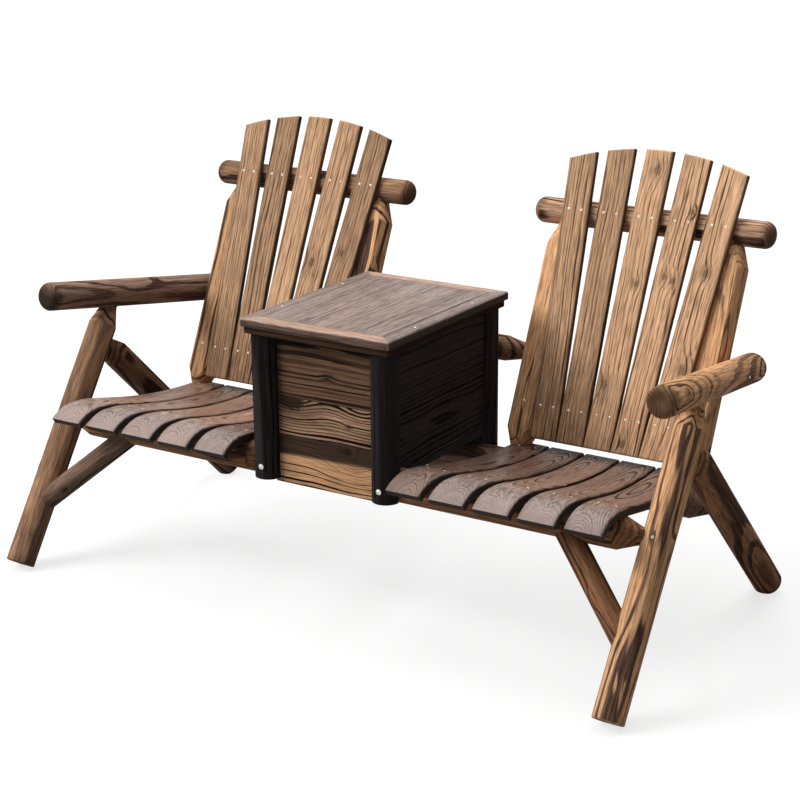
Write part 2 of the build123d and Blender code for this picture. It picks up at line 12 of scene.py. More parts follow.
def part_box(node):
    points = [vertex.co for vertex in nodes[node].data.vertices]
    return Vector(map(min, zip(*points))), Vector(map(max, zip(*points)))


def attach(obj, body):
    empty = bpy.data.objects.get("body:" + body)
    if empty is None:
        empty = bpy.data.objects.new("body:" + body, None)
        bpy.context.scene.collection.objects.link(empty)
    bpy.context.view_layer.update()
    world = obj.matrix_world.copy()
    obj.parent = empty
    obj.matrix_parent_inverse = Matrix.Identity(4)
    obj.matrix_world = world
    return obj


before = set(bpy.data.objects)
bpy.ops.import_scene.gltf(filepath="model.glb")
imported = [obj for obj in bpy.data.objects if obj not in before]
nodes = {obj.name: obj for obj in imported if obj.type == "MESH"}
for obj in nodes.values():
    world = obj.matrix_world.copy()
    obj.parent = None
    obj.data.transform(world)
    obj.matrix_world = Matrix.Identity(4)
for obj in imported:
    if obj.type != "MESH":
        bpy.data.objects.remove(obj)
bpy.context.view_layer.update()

# Camera of the photograph, in the part's frame
CAMERA_PLACE = Vector((2.2807, -3.4772, 1.7559))
CAMERA_AZIMUTH = 0.5726     # radians, from the front towards the right
CAMERA_DROP = 0.3063        # radians below level
CAMERA_ROLL = -0.0087
LENS = 85.73
SENSOR = 36.0

# Colours of the wood, linear
GOLD = (0.65, 0.36, 0.185, 1)
HONEY = (0.54, 0.32, 0.20, 1)
TAN = (0.705, 0.425, 0.246, 1)
BROWN = (0.38, 0.215, 0.125, 1)
RUST = (0.40, 0.190, 0.095, 1)
UMBER = (0.27, 0.172, 0.122, 1)
# Lid wood, lightened and greyed to stand in for part of its sheen: partly painted sheen
SADDLE_AND_SHEEN = (0.322, 0.240, 0.206, 1)
HIDE = (0.214, 0.121, 0.082, 1)
# Pale grey of the painted sheen at the front ends of the seat slats
SHEEN_PALE = (0.382, 0.308, 0.284, 1)
FAWN = (0.535, 0.345, 0.25, 1)
SMOKE = (0.19, 0.105, 0.064, 1)
CHARRED = (0.046, 0.042, 0.044, 1)
COAL = (0.028, 0.023, 0.024, 1)
LOG_LATE = (0.068, 0.038, 0.030, 1)
FLAME = (0.115, 0.066, 0.050, 1)
SLAT_LATE = (0.105, 0.054, 0.031, 1)
SEAT_LATE = (0.030, 0.016, 0.012, 1)
SOOT = (0.008, 0.006, 0.006, 1)
SMOULDER = (0.026, 0.018, 0.015, 1)
KNOT = (0.028, 0.018, 0.014, 1)

# Light
WORLD_LIGHT = 0.17
KEY_POWER = 430.0
KEY_PLACE = Vector((-4.2, -3.4, 4.4))
KEY_SIZE = 3.4
TOP_POWER = 190.0
TOP_PLACE = Vector((-0.4, 1.2, 4.8))
TOP_SIZE = 4.0
AIM = Vector((0.0, 0.0, 0.45))
FLOOR_SIZE = 120.0
FLOOR_TONE = 0.26
FLOOR_ROUGHNESS = 0.9
NEAR_GLOW = 0.74            # added for the camera and reflections alone, so that the bare floor is white
FAR_GLOW = 0.93
GLOW_NEAR, GLOW_FAR = 1.5, 7.0  # metres from the middle

random.seed(11)


class Nodes:
    """Short calls that add nodes to one tree. Inputs are sockets or plain values."""

    def __init__(self, tree):
        self.tree = tree

    def feed(self, socket, value):
        """Link a socket, or set its value."""
        if isinstance(value, bpy.types.NodeSocket):
            self.tree.links.new(value, socket)
        else:
            socket.default_value = value

    def add(self, kind, inputs=(), **settings):
        """Add a node with its settings, and feed its inputs by name or number."""
        node = self.tree.nodes.new(kind)
        for name, value in settings.items():
            setattr(node, name, value)
        for key, value in dict(inputs).items():
            self.feed(node.inputs[key], value)
        return node

    def math(self, operation, *values, clamp=False):
        """Result of a Math node."""
        return self.add("ShaderNodeMath", dict(enumerate(values)), operation=operation,
                        use_clamp=clamp).outputs[0]

    def combine(self, x, y, z):
        """Vector of three values."""
        return self.add("ShaderNodeCombineXYZ", {0: x, 1: y, 2: z}).outputs[0]

    def separate(self, vector):
        """The three values of a vector."""
        return self.add("ShaderNodeSeparateXYZ", {0: vector}).outputs

    def stretched(self, vector, along, across, seed):
        """Grain space with other scales along and across the grain, moved to a place of its own."""
        x, y, z = self.separate(vector)
        return self.combine(
            self.math("MULTIPLY_ADD", x, along, seed),
            self.math("MULTIPLY_ADD", y, across, self.math("MULTIPLY", seed, SEED_ACROSS)),
            self.math("MULTIPLY", z, across),
        )

    def noise(self, vector, detail=2.0):
        """Noise of unit scale. Its first output is a value, its second a colour."""
        return self.add("ShaderNodeTexNoise", {"Vector": vector, "Scale": 1.0, "Detail": detail}).outputs

    def step(self, value, low, high, start=0.0, end=1.0):
        """Smooth step from start to end as a value goes from low to high."""
        return self.add("ShaderNodeMapRange", {0: value, 1: low, 2: high, 3: start, 4: end},
                        interpolation_type="SMOOTHSTEP").outputs[0]

    def mix(self, factor, first, second, kind="MIX"):
        """Blend of two colours."""
        return self.add("ShaderNodeMix", {0: factor, 6: first, 7: second}, data_type="RGBA",
                        blend_type=kind).outputs[2]

    def seen(self):
        """1 for what the camera, a reflection or glass shows, and 0 for light on the part."""
        ray = self.add("ShaderNodeLightPath").outputs
        through = self.math("MAXIMUM", ray["Is Glossy Ray"], ray["Is Transmission Ray"])
        return self.math("MAXIMUM", ray["Is Camera Ray"], through)


KNOTS = ("A", "B", "C", "D")
EYE = "E"                   # a knot below the surface, which only bends the rings
WOOD_INPUTS = {
    "Grain": "NodeSocketVector",        # X along the grain, Z out of the face, from the piece's middle
    "Axis": "NodeSocketVector",         # direction of the grain in the part's frame
    "Seed": "NodeSocketFloat",
    "Board": "NodeSocketFloat",         # width of the boards that lie side by side in one node
    "Half Length": "NodeSocketFloat",
    "Half Width": "NodeSocketFloat",    # from the middle of a board to its burnt edges
    "Pith": "NodeSocketVector",         # where the growth rings have their middle
    "Wander": "NodeSocketFloat",        # how far the pith strays along the piece
    "Slope": "NodeSocketFloat",         # how far the pith leans out of the piece, in metres a metre
    "Ripple": "NodeSocketFloat",        # how unevenly the rings run, in rings
    "Ring": "NodeSocketFloat",          # width of a growth ring
    "Late": "NodeSocketFloat",          # share of a ring that is dark late wood
    "Broken": "NodeSocketFloat",        # how far the dark lines break up along the grain
    "Dashes": "NodeSocketFloat",        # how dark the short fibres between them are
    "Light": "NodeSocketColor",
    "Dark": "NodeSocketColor",
    "Burn": "NodeSocketFloat",          # how deeply the whole piece is charred
    "Patches": "NodeSocketFloat",       # how unevenly
    "End Burn": "NodeSocketFloat",      # how much more at its ends
    "Edge Burn": "NodeSocketFloat",     # how much more at the edges of a board: char, and painted shade on its side faces
    "Underside Shade": "NodeSocketFloat",    # how much painted shade darkens sides and undersides
    "Worn": "NodeSocketFloat",          # how far the front end is painted pale and grey, a painted sheen
    "Band": "NodeSocketVector",         # start and full place of a burnt band across the grain, and its depth
    "Knot Burn": "NodeSocketFloat",     # how dark knots are
    "Swirl": "NodeSocketFloat",         # how far the rings part round a knot, in sizes of the knot
    "Gloss": "NodeSocketFloat",         # roughness before the fibres are counted
    "Knot Depth": "NodeSocketFloat",    # 0 for knots right through a board, 1 for knots on one side of a log
    **{f"Knot {k}": "NodeSocketVector" for k in (*KNOTS, EYE)},
    **{f"Knot Size {k}": "NodeSocketFloat" for k in (*KNOTS, EYE)},
}

# Marks a metre, along and across the grain
PATCH_SCALE = (3.2, 13.0)
RIPPLE_SCALE = (3.0, 24.0)
STREAK_SCALE = (5.0, 210.0)
KNOT_EDGE_SCALE = (90.0, 130.0)
BREAK_SCALE = (8.0, 150.0)
FIBRE_SCALE = (22.0, 900.0)
DASH_SCALE = (24.0, 460.0)
STRAY_SCALE = 1.8                       # along the grain alone
PACE_SCALE = 60.0                       # out from the pith alone
PACE_PLANE = 3.0                        # keeps this noise apart from the others
SEED_ACROSS = 1.7                       # a seed shifts marks this many times as far across as along

# How each board of a node differs from its neighbour
BOARD_SEED = 7.31
BOARD_TURN = 2.4                        # radians of the pith's sway
BOARD_SWAY = 0.03                       # metres that the pith sways to each side

# Rings. Here and below a range is (from, to), with (start, end) of the result where that is not (0, 1).
CUT_ACROSS = (0.15, 0.65, 1.0, 0.2)     # fibres left, by the cosine between grain and a face's direction
FRAY_BROKEN, FRAY_LEAST = 0.5, 0.12     # in rings
PACE_SHIFT = 1.6                        # in rings
LATE_UNEVEN = 1.4
LATE_START, LATE_FULL = -1.25, -0.80    # from a ring's end, in shares of its late wood
LATE_STOP = (1.0, 0.94)
YEAR_DARK = (-0.3, 0.85)
END_GRAIN = (-0.014, -0.002, 1.0, 0.45)  # dark wood left, by metres past the end
BREAKS = (0.36, 0.58)
BREAK_SEED = 2.3

# Knots. Ranges are in sizes of the knot.
KNOT_STRETCH = 1.5
BULGE_FALL = -0.28
KNOT_RAGGED = 0.6
KNOT_CORE = (1.05, 0.5)
KNOT_HALO = (2.8, 0.5)
HALO_DARK = 0.5

# Burnt places, painted shade, and the painted sheen at the front end. Ranges are in metres from an end or an
# edge.
END_UNEVEN = 0.05
END_BURNT = (-0.012, 0.030)
EDGE_SOFT, EDGE_SOFT_DARK = (-0.012, 0.0), 0.3
EDGE_HARD = (-0.0015, -0.0003, 0.0, 0.7)
BAND_UNEVEN = 0.04
UNDERSIDE = (0.15, -0.05)               # by the upward part of a face's direction: painted shade on faces that point sideways or down
# Painted sheen: how far it reaches from the front end, and how much it fades the dark lines
SHEEN_REACH = (0.17, 0.05)
SHEEN_LATE = -0.65
CHAR_LEFT = (0.05, 0.05, 0.05, 1)       # of the wood's colour

# Fibres, roughness and relief
DASH_DARK = (0.42, 0.66)
FIBRE_SHADE, STREAK_SHADE = 0.8, 0.9
FIBRE_ROUGH, LATE_ROUGH, BURN_ROUGH = 0.22, 0.25, 0.5
FIBRE_HEIGHT, STREAK_HEIGHT = 0.7, 0.5
WOOD_BUMP = {"Strength": 0.6, "Distance": 0.0009}


def wood_group():
    """Charred and brushed softwood: growth rings round a wandering pith, knots, fibres and burnt patches,
    with painted shade on sides, undersides and board edges and a painted sheen at the front end.
    """
    tree = bpy.data.node_groups.new("charred_wood", "ShaderNodeTree")
    for name, kind in WOOD_INPUTS.items():
        tree.interface.new_socket(name, in_out="INPUT", socket_type=kind)
    for name, kind in (("Color", "NodeSocketColor"), ("Roughness", "NodeSocketFloat"),
                       ("Normal", "NodeSocketVector")):
        tree.interface.new_socket(name, in_out="OUTPUT", socket_type=kind)
    n = Nodes(tree)
    given = n.add("NodeGroupInput").outputs

    # Boards side by side in one node each get a place of their own in the grain
    along, across, deep = n.separate(given["Grain"])
    board = n.math("FLOOR", n.math("ADD", n.math("DIVIDE", across, given["Board"]), 0.5))
    across = n.math("SUBTRACT", across, n.math("MULTIPLY", board, given["Board"]))
    seed = n.math("MULTIPLY_ADD", board, BOARD_SEED, given["Seed"])
    grain = n.combine(along, across, deep)
    patch = n.noise(n.stretched(grain, *PATCH_SCALE, seed))[0]
    uneven = n.math("SUBTRACT", patch, 0.5)

    # Fibres fade where the wood is cut across them
    facing = n.add("ShaderNodeTexCoord").outputs["Normal"]
    up = n.separate(facing)[2]
    square = n.add("ShaderNodeVectorMath", {0: facing, 1: given["Axis"]},
                   operation="DOT_PRODUCT").outputs["Value"]
    run = n.step(n.math("ABSOLUTE", square), *CUT_ACROSS)

    # Distance from the pith
    _, pith_across, pith_deep = n.separate(given["Pith"])
    stray = n.separate(n.noise(n.combine(n.math("MULTIPLY", along, STRAY_SCALE), seed, 0.0))[1])
    swing = n.math("MULTIPLY", given["Wander"], 2.0)
    board_sway = n.math("MULTIPLY", n.math("SINE", n.math("MULTIPLY", board, BOARD_TURN)), BOARD_SWAY)
    away_across = n.math("SUBTRACT", across, n.math("ADD", n.math("ADD", pith_across, board_sway), n.math(
        "MULTIPLY", n.math("SUBTRACT", stray[0], 0.5), swing)))
    lean = n.math("MULTIPLY_ADD", along, given["Slope"], pith_deep)
    away_deep = n.math("SUBTRACT", deep, n.math("ADD", lean, n.math(
        "MULTIPLY", n.math("SUBTRACT", stray[1], 0.5), swing)))
    reach = n.math("SQRT", n.math("ADD", n.math("POWER", away_across, 2.0), n.math("POWER", away_deep, 2.0)))
    ripple = n.math("SUBTRACT", n.noise(n.stretched(grain, *RIPPLE_SCALE, seed))[0], 0.5)
    ripple = n.math("MULTIPLY", ripple, n.math("MULTIPLY", given["Ripple"], given["Ring"]))
    reach = n.math("ADD", reach, ripple)
    streak = n.noise(n.stretched(grain, *STREAK_SCALE, seed))[0]
    streaked = n.math("SUBTRACT", streak, 0.5)
    fray = n.math("MULTIPLY_ADD", given["Broken"], FRAY_BROKEN, FRAY_LEAST)
    fray = n.math("MULTIPLY", given["Ring"], fray)
    reach = n.math("ADD", reach, n.math("MULTIPLY", fray, n.math("MULTIPLY", streaked, run)))

    # Rings part round the knots
    knot, halo = 0.0, 0.0
    ragged = n.math("SUBTRACT", n.noise(n.stretched(grain, *KNOT_EDGE_SCALE, seed))[0], 0.5)
    for k in (*KNOTS, EYE):
        x, y, z = n.separate(given[f"Knot {k}"])
        size = given[f"Knot Size {k}"]
        off = n.combine(n.math("DIVIDE", n.math("SUBTRACT", along, x), KNOT_STRETCH),
                        n.math("SUBTRACT", across, y),
                        n.math("MULTIPLY", n.math("SUBTRACT", deep, z), given["Knot Depth"]))
        distance = n.add("ShaderNodeVectorMath", {0: off}, operation="LENGTH").outputs["Value"]
        share = n.math("DIVIDE", distance, size)
        bulge = n.math("EXPONENT", n.math("MULTIPLY", n.math("POWER", share, 2.0), BULGE_FALL))
        reach = n.math("MULTIPLY_ADD", bulge, n.math("MULTIPLY", size, given["Swirl"]), reach)
        if k == EYE:
            continue
        core = n.step(n.math("MULTIPLY_ADD", ragged, KNOT_RAGGED, share), *KNOT_CORE)
        knot = n.math("MAXIMUM", knot, core)
        halo = n.math("MAXIMUM", halo, n.step(share, *KNOT_HALO))

    # Rings of uneven width and darkness, each pale at first and dark at its end
    pace = n.noise(n.combine(n.math("MULTIPLY", reach, PACE_SCALE), seed, PACE_PLANE), detail=1.0)[0]
    turn = n.math("MULTIPLY_ADD", pace, PACE_SHIFT, n.math("DIVIDE", reach, given["Ring"]))
    part = n.math("FRACT", turn)
    dark_share = n.math("MULTIPLY", given["Late"], n.math("MULTIPLY_ADD", uneven, LATE_UNEVEN, 1.0))
    rise = n.step(part, n.math("MULTIPLY_ADD", dark_share, LATE_START, 1.0),
                  n.math("MULTIPLY_ADD", dark_share, LATE_FULL, 1.0))
    year = n.add("ShaderNodeTexWhiteNoise", {0: n.combine(n.math("FLOOR", turn), seed, 0.0)}).outputs[0]
    past = n.math("SUBTRACT", n.math("ABSOLUTE", along), given["Half Length"])
    rise = n.math("MULTIPLY", rise, n.step(past, *END_GRAIN))
    late = n.math("MULTIPLY", n.math("MULTIPLY", rise, n.step(part, *LATE_STOP)), n.step(year, *YEAR_DARK))
    gaps = n.noise(n.stretched(grain, *BREAK_SCALE, n.math("ADD", seed, BREAK_SEED)), detail=1.0)[0]
    lost = n.math("MULTIPLY", n.math("SUBTRACT", 1.0, n.step(gaps, *BREAKS)), given["Broken"])
    late = n.math("MULTIPLY", late, n.math("SUBTRACT", 1.0, lost))

    # Burnt ends, edges and bands, with painted shade on sides, undersides and the side faces of boards
    inside = n.math("SUBTRACT", n.math("ABSOLUTE", across), given["Half Width"])
    # Edges of a board: real char, and painted shade on the side faces beside them
    edge = n.math("MULTIPLY_ADD", n.step(inside, *EDGE_SOFT), EDGE_SOFT_DARK, n.step(inside, *EDGE_HARD))
    end = n.step(n.math("MULTIPLY_ADD", patch, END_UNEVEN, past), *END_BURNT)
    start, full, depth = n.separate(given["Band"])
    band = n.step(n.math("MULTIPLY_ADD", uneven, BAND_UNEVEN, across), start, full)
    band = n.math("MULTIPLY", band, depth)
    burn = n.math("MULTIPLY_ADD", uneven, given["Patches"], given["Burn"])
    burn = n.math("MULTIPLY_ADD", edge, given["Edge Burn"], n.math("ADD", burn, band))
    # Painted shade: faces that point sideways or down are darkened
    burn = n.math("MULTIPLY_ADD", n.step(up, *UNDERSIDE), given["Underside Shade"], burn)
    burn = n.math("MULTIPLY_ADD", end, given["End Burn"], burn, clamp=True)

    # Colour
    # Painted sheen: the front end goes paler and greyer, and its dark lines fainter
    worn = n.step(n.math("ADD", along, given["Half Length"]), *SHEEN_REACH)
    worn = n.math("MULTIPLY", worn, given["Worn"])
    late = n.math("MULTIPLY", late, n.math("MULTIPLY_ADD", worn, SHEEN_LATE, 1.0))
    color = n.mix(late, n.mix(worn, given["Light"], SHEEN_PALE), given["Dark"])
    fibre = n.noise(n.stretched(grain, *FIBRE_SCALE, seed))[0]
    dash = n.step(n.noise(n.stretched(grain, *DASH_SCALE, seed), detail=1.0)[0], *DASH_DARK)
    speckle = n.math("MULTIPLY_ADD", n.math("SUBTRACT", fibre, 0.5), FIBRE_SHADE,
                     n.math("MULTIPLY", streaked, STREAK_SHADE))
    speckle = n.math("SUBTRACT", speckle, n.math("MULTIPLY", dash, given["Dashes"]))
    shade = n.math("MULTIPLY_ADD", speckle, run, 1.0)
    color = n.mix(1.0, color, n.combine(shade, shade, shade), "MULTIPLY")
    burnt = n.mix(1.0, n.mix(1.0, color, CHAR_LEFT, "MULTIPLY"), SMOULDER, "ADD")
    color = n.mix(burn, color, burnt)
    knot = n.math("MAXIMUM", n.math("MULTIPLY", halo, HALO_DARK), knot)
    color = n.mix(n.math("MULTIPLY", knot, given["Knot Burn"]), color, KNOT)

    # Roughness and relief
    rough = n.math("MULTIPLY_ADD", late, LATE_ROUGH, given["Gloss"])
    rough = n.math("MULTIPLY_ADD", fibre, FIBRE_ROUGH, rough)
    rough = n.math("MULTIPLY_ADD", burn, BURN_ROUGH, rough)
    height = n.math("MULTIPLY_ADD", streak, STREAK_HEIGHT, late)
    height = n.math("MULTIPLY_ADD", fibre, FIBRE_HEIGHT, height)
    bump = n.add("ShaderNodeBump", WOOD_BUMP | {"Height": height}).outputs[0]
    n.add("NodeGroupOutput", {"Color": color, "Roughness": rough, "Normal": bump})
    return tree


WOOD = wood_group()


def plain_material(name):
    """New material with an empty tree: its nodes, and its surface shader."""
    material = bpy.data.materials.new(name)
    material.use_nodes = True
    material.node_tree.nodes.clear()
    n = Nodes(material.node_tree)
    shader = n.add("ShaderNodeBsdfPrincipled")
    n.add("ShaderNodeOutputMaterial", {"Surface": shader.outputs[0]})
    return material, n, shader


def dress(piece, material):
    """Give a piece one material."""
    piece.data.materials.clear()
    piece.data.materials.append(material)


def add_object(name, data):
    """New object in the scene."""
    added = bpy.data.objects.new(name, data)
    bpy.context.scene.collection.objects.link(added)
    return added


def principal_axes(piece):
    """Longest and shortest direction of a node and its middle, from the moments of its faces."""
    mesh = piece.data
    mesh.calc_loop_triangles()
    points = np.array([v.co for v in mesh.vertices])
    corners = points[np.array([t.vertices for t in mesh.loop_triangles])]
    areas = np.array([t.area for t in mesh.loop_triangles])
    middle = np.average(corners.mean(axis=1), axis=0, weights=areas)
    corners = corners - middle
    total = corners.sum(axis=1)
    moment = (np.einsum("t,ti,tj->ij", areas, total, total)
              + np.einsum("t,tki,tkj->ij", areas, corners, corners))
    _, axes = np.linalg.eigh(moment)
    axes = [Vector(a) if a[np.argmax(np.abs(a))] > 0 else -Vector(a) for a in axes.T]
    return axes[2], axes[0], Vector(middle)


def grain_space(piece, along=None, deep=None, middle=None):
    """Matrix from the part's frame to a piece's grain space, and half the piece's length along its grain."""
    longest, shortest, centre = principal_axes(piece)
    x = Vector(along or longest).normalized()
    z = Vector(deep or shortest)
    z = (z - x * z.dot(x)).normalized()
    y = z.cross(x)
    turn = Matrix((x, y, z))
    middle = Vector(middle or centre)
    lengths = [x.dot(v.co - middle) for v in piece.data.vertices]
    return turn, -(turn @ middle), (max(lengths) - min(lengths)) / 2


def toned(color, tone):
    """A colour made lighter or darker."""
    return tuple(c * tone for c in color[:3]) + (1,)


# How each kind of piece is cut from its tree and burnt. Lengths are in metres.
PLAIN = dict(
    wander=0.008, slope=0.0, ripple=0.7, broken=0.4, dashes=0.3, burn=0.04, patches=0.3, end_burn=0.1,
    edge_burn=0.0, underside_shade=0.0, worn=0.0, knot_burn=0.75, swirl=0.9, gloss=0.5, specular=0.015, coat=0.0)
ROUND = PLAIN | dict(
    dark=LOG_LATE, ring=0.0054, late=0.45, wander=0.015, ripple=1.8, broken=0.15, dashes=0.45, end_burn=0.35,
    gloss=0.45)
BROWN_LOG = ROUND | dict(light=BROWN, pith=(0.004, -0.012), patches=0.5)
DARK_LOG = ROUND | dict(light=UMBER, pith=(-0.005, -0.012), patches=0.6)
LOOKS = {
    "log": ROUND | dict(light=GOLD, pith=(0.006, -0.016)),
    "flamed_log": ROUND | dict(
        light=toned(GOLD, 1.2), dark=FLAME, late=0.52, pith=(0.002, -0.030), wander=0.010, ripple=5.0,
        end_burn=0.2),
    "arm_log": ROUND | dict(
        light=toned(GOLD, 0.88), late=0.46, pith=(0.005, -0.010), slope=0.09, wander=0.020, end_burn=0.88),
    "bar_log": ROUND | dict(light=toned(HONEY, 1.15), late=0.34, pith=(0.010, -0.014), end_burn=0.7),
    "gold_log": ROUND | dict(
        light=toned(GOLD, 1.08), ring=0.0078, late=0.22, pith=(0.004, -0.010), wander=0.02, ripple=3.0,
        burn=0.0),
    "brown_log": BROWN_LOG,
    "brown_end_log": BROWN_LOG | dict(end_burn=0.7),
    "rust_log": BROWN_LOG | dict(light=RUST),
    "dark_log": DARK_LOG,
    "dark_arm_log": DARK_LOG | dict(end_burn=0.9),
    "back_slat": PLAIN | dict(
        light=TAN, dark=SLAT_LATE, ring=0.0062, late=0.27, pith=(0.050, -0.035), wander=0.012, ripple=1.0,
        broken=0.55, dashes=0.42, patches=0.5, edge_burn=0.76, knot_burn=0.62),
    "seat_slat": PLAIN | dict(
        light=HIDE, dark=SEAT_LATE, ring=0.0042, late=0.28, pith=(0.014, -0.020), wander=0.010, broken=0.1,
        dashes=0.6, edge_burn=0.7, underside_shade=1.0, worn=0.8, gloss=0.25, specular=0.12, coat=0.02),
    "upper_board": PLAIN | dict(
        light=toned(SMOKE, 1.2), dark=SOOT, ring=0.0085, late=0.50, pith=(0.060, -0.040), wander=0.016,
        ripple=1.8, broken=0.3, burn=0.1, patches=0.9, edge_burn=0.4),
    "middle_board": PLAIN | dict(
        light=toned(HONEY, 0.88), dark=SOOT, ring=0.0095, late=0.49, pith=(0.080, -0.040), side=-1,
        ripple=1.0, broken=0.0, burn=0.12, patches=1.1, edge_burn=0.4, knot_burn=0.97, swirl=1.5),
    "lower_board": PLAIN | dict(
        light=toned(GOLD, 1.1), dark=SOOT, ring=0.0095, late=0.26, pith=(0.060, -0.045), side=-1,
        wander=0.010, ripple=1.2, broken=0.0, edge_burn=0.3, swirl=2.0),
    "box_post": PLAIN | dict(
        light=COAL, dark=SOOT, ring=0.0060, late=0.40, pith=(0.008, 0.010), burn=0.0, patches=0.0,
        end_burn=0.0),
    "box_board": PLAIN | dict(
        light=CHARRED, dark=SOOT, ring=0.0085, late=0.45, pith=(0.05, -0.045), wander=0.02, ripple=1.2,
        patches=0.6),
    "lid_plank": PLAIN | dict(
        light=SADDLE_AND_SHEEN, dark=SEAT_LATE, ring=0.0075, late=0.27, pith=(0.10, -0.03), dashes=0.55, patches=0.6,
        gloss=0.36, specular=0.22, coat=0.04),
    "lid_strip": PLAIN | dict(
        light=FAWN, dark=SLAT_LATE, ring=0.0066, late=0.25, pith=(0.08, -0.03), dashes=0.55, edge_burn=0.75,
        gloss=0.36, specular=0.2, coat=0.04),
    "lid_rail": PLAIN | dict(
        light=toned(SMOKE, 0.45), dark=SOOT, ring=0.0050, late=0.35, pith=(0.05, -0.04), end_burn=0.8),
}

# Values of a look that go to the input of the same name
PLAIN_INPUTS = ("wander", "slope", "ripple", "late", "broken", "dashes", "patches", "end_burn", "edge_burn",
                "underside_shade", "worn", "knot_burn", "swirl", "gloss")

# How far pieces of one look differ
PITH_VARIES = 0.3
RING_VARIES = (0.9, 1.15)
BURN_VARIES = 0.02
SEED_STEP = 5.17
seeds = itertools.count(1)

COAT_ROUGHNESS = 0.45
NO_KNOT = (0, 0, 0, 1e-4)   # too small to show
NO_BAND = (9.0, 10.0, 0.0)  # beyond any piece
WIDE = 9.0                  # wider than any piece

# Directions, and places clear of the part where rays start
X_AXIS, Y_AXIS, Z_AXIS = (1, 0, 0), (0, 1, 0), (0, 0, 1)
FRONT, DOWN = (0, -1, 0), (0, 0, -1)
AHEAD, ASIDE, ABOVE = -1, 2, 1
SIDES = {"right": 1, "left": -1}    # sign of X


def struck(name, origin, direction):
    """Where a ray meets a node, with the surface's outward direction, or nothing."""
    hit, place, outward, _ = nodes[name].ray_cast(Vector(origin), Vector(direction))
    return (place, outward) if hit else None


def wood(piece, look, knots=(), spots=(), eye=None, board=WIDE, half_width=WIDE, tone=1.0, band=NO_BAND,
         knot_depth=0.0, along=None, deep=None, middle=None, **other):
    """Dress a node in wood of one look, cut from its own place in the tree.

    Knots are (x, y, z, size) in the grain. Spots are knots as (X, Z, size) of the part, on the piece's front.
    """
    values = LOOKS[look] | other
    turn, shift, half = grain_space(piece, along, deep, middle)
    knots = list(knots)
    for x, z, size in spots:
        place, _ = struck(piece.name, (x, AHEAD, z), Y_AXIS)
        knots.append((*(turn @ place + shift), size))
    places = dict(zip(KNOTS, knots))
    if eye:
        x, z, size = eye
        places[EYE] = (*(turn @ Vector((x, 0, z)) + shift), size)
    material, n, shader = plain_material(f"wood_{piece.name}")
    place = n.add("ShaderNodeTexCoord").outputs["Object"]
    mapping = n.add("ShaderNodeMapping", {"Vector": place, "Location": shift, "Rotation": turn.to_euler()})
    pith_across, pith_deep = (p * random.uniform(1 - PITH_VARIES, 1 + PITH_VARIES) for p in values["pith"])
    pith_across *= values.get("side", random.choice((-1, 1)))
    inputs = {
        "Grain": mapping.outputs[0], "Axis": turn[0], "Seed": next(seeds) * SEED_STEP, "Board": board,
        "Half Length": half, "Half Width": half_width, "Pith": (0.0, pith_across, pith_deep),
        "Ring": values["ring"] * random.uniform(*RING_VARIES),
        "Burn": values["burn"] + random.uniform(-BURN_VARIES, BURN_VARIES),
        "Light": toned(values["light"], tone), "Dark": toned(values["dark"], tone),
        "Band": band, "Knot Depth": knot_depth,
    }
    inputs |= {key.replace("_", " ").title(): values[key] for key in PLAIN_INPUTS}
    for k in (*KNOTS, EYE):
        x, y, z, size = places.get(k, NO_KNOT)
        inputs[f"Knot {k}"] = (x, y, z)
        inputs[f"Knot Size {k}"] = size
    cut = n.add("ShaderNodeGroup", node_tree=WOOD)
    for name, value in inputs.items():
        n.feed(cut.inputs[name], value)
    for name, socket in (("Color", "Base Color"), ("Roughness", "Roughness"), ("Normal", "Normal")):
        n.feed(shader.inputs[socket], cut.outputs[name])
    shader.inputs["Specular IOR Level"].default_value = values["specular"]
    shader.inputs["Coat Weight"].default_value = values["coat"]
    shader.inputs["Coat Roughness"].default_value = COAT_ROUGHNESS
    dress(piece, material)


LOG_KNOT_REACH = 0.8        # of half the log's length
LOG_KNOT_SIZE = (0.006, 0.010)


def log_knots(count, half, radius):
    """Knots at random round a log."""
    found = []
    for _ in range(count):
        angle = random.uniform(0, 2 * math.pi)
        found.append((random.uniform(-LOG_KNOT_REACH, LOG_KNOT_REACH) * half, radius * math.cos(angle),
                      radius * math.sin(angle), random.uniform(*LOG_KNOT_SIZE)))
    return found


def half_size(name):
    """Half of a node's largest extent."""
    low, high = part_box(name)
    return max(high - low) / 2


# Look and tone of each log on the right and on the left, and how far from its middle its knots lie. The right
# inner back post's tone also lightens it out of its shade: painted light.
LOGS = {
    "front_leg": (("flamed_log", 1.08), ("brown_log", 1.1), 0.034),
    "rear_leg": (("rust_log", 1.05), ("brown_log", 0.55), 0.034),
    "leg_brace": (("rust_log", 0.82), ("dark_log", 1.0), 0.026),
    "armrest": (("arm_log", 1.35), ("dark_arm_log", 1.2), 0.034),
    "inner_back_post": (("gold_log", 1.27), ("log", 1.35), 0.038),
    "outer_back_post": (("gold_log", 1.2), ("log", 0.87), 0.038),
    "back_top_bar": (("bar_log", 1.0), ("brown_end_log", 0.88), 0.030),
    "back_lower_bar": (("dark_log", 1.0), ("dark_log", 1.0), 0.038),
}

SLAT_NUMBERS = range(1, 6)  # from the inner slat out

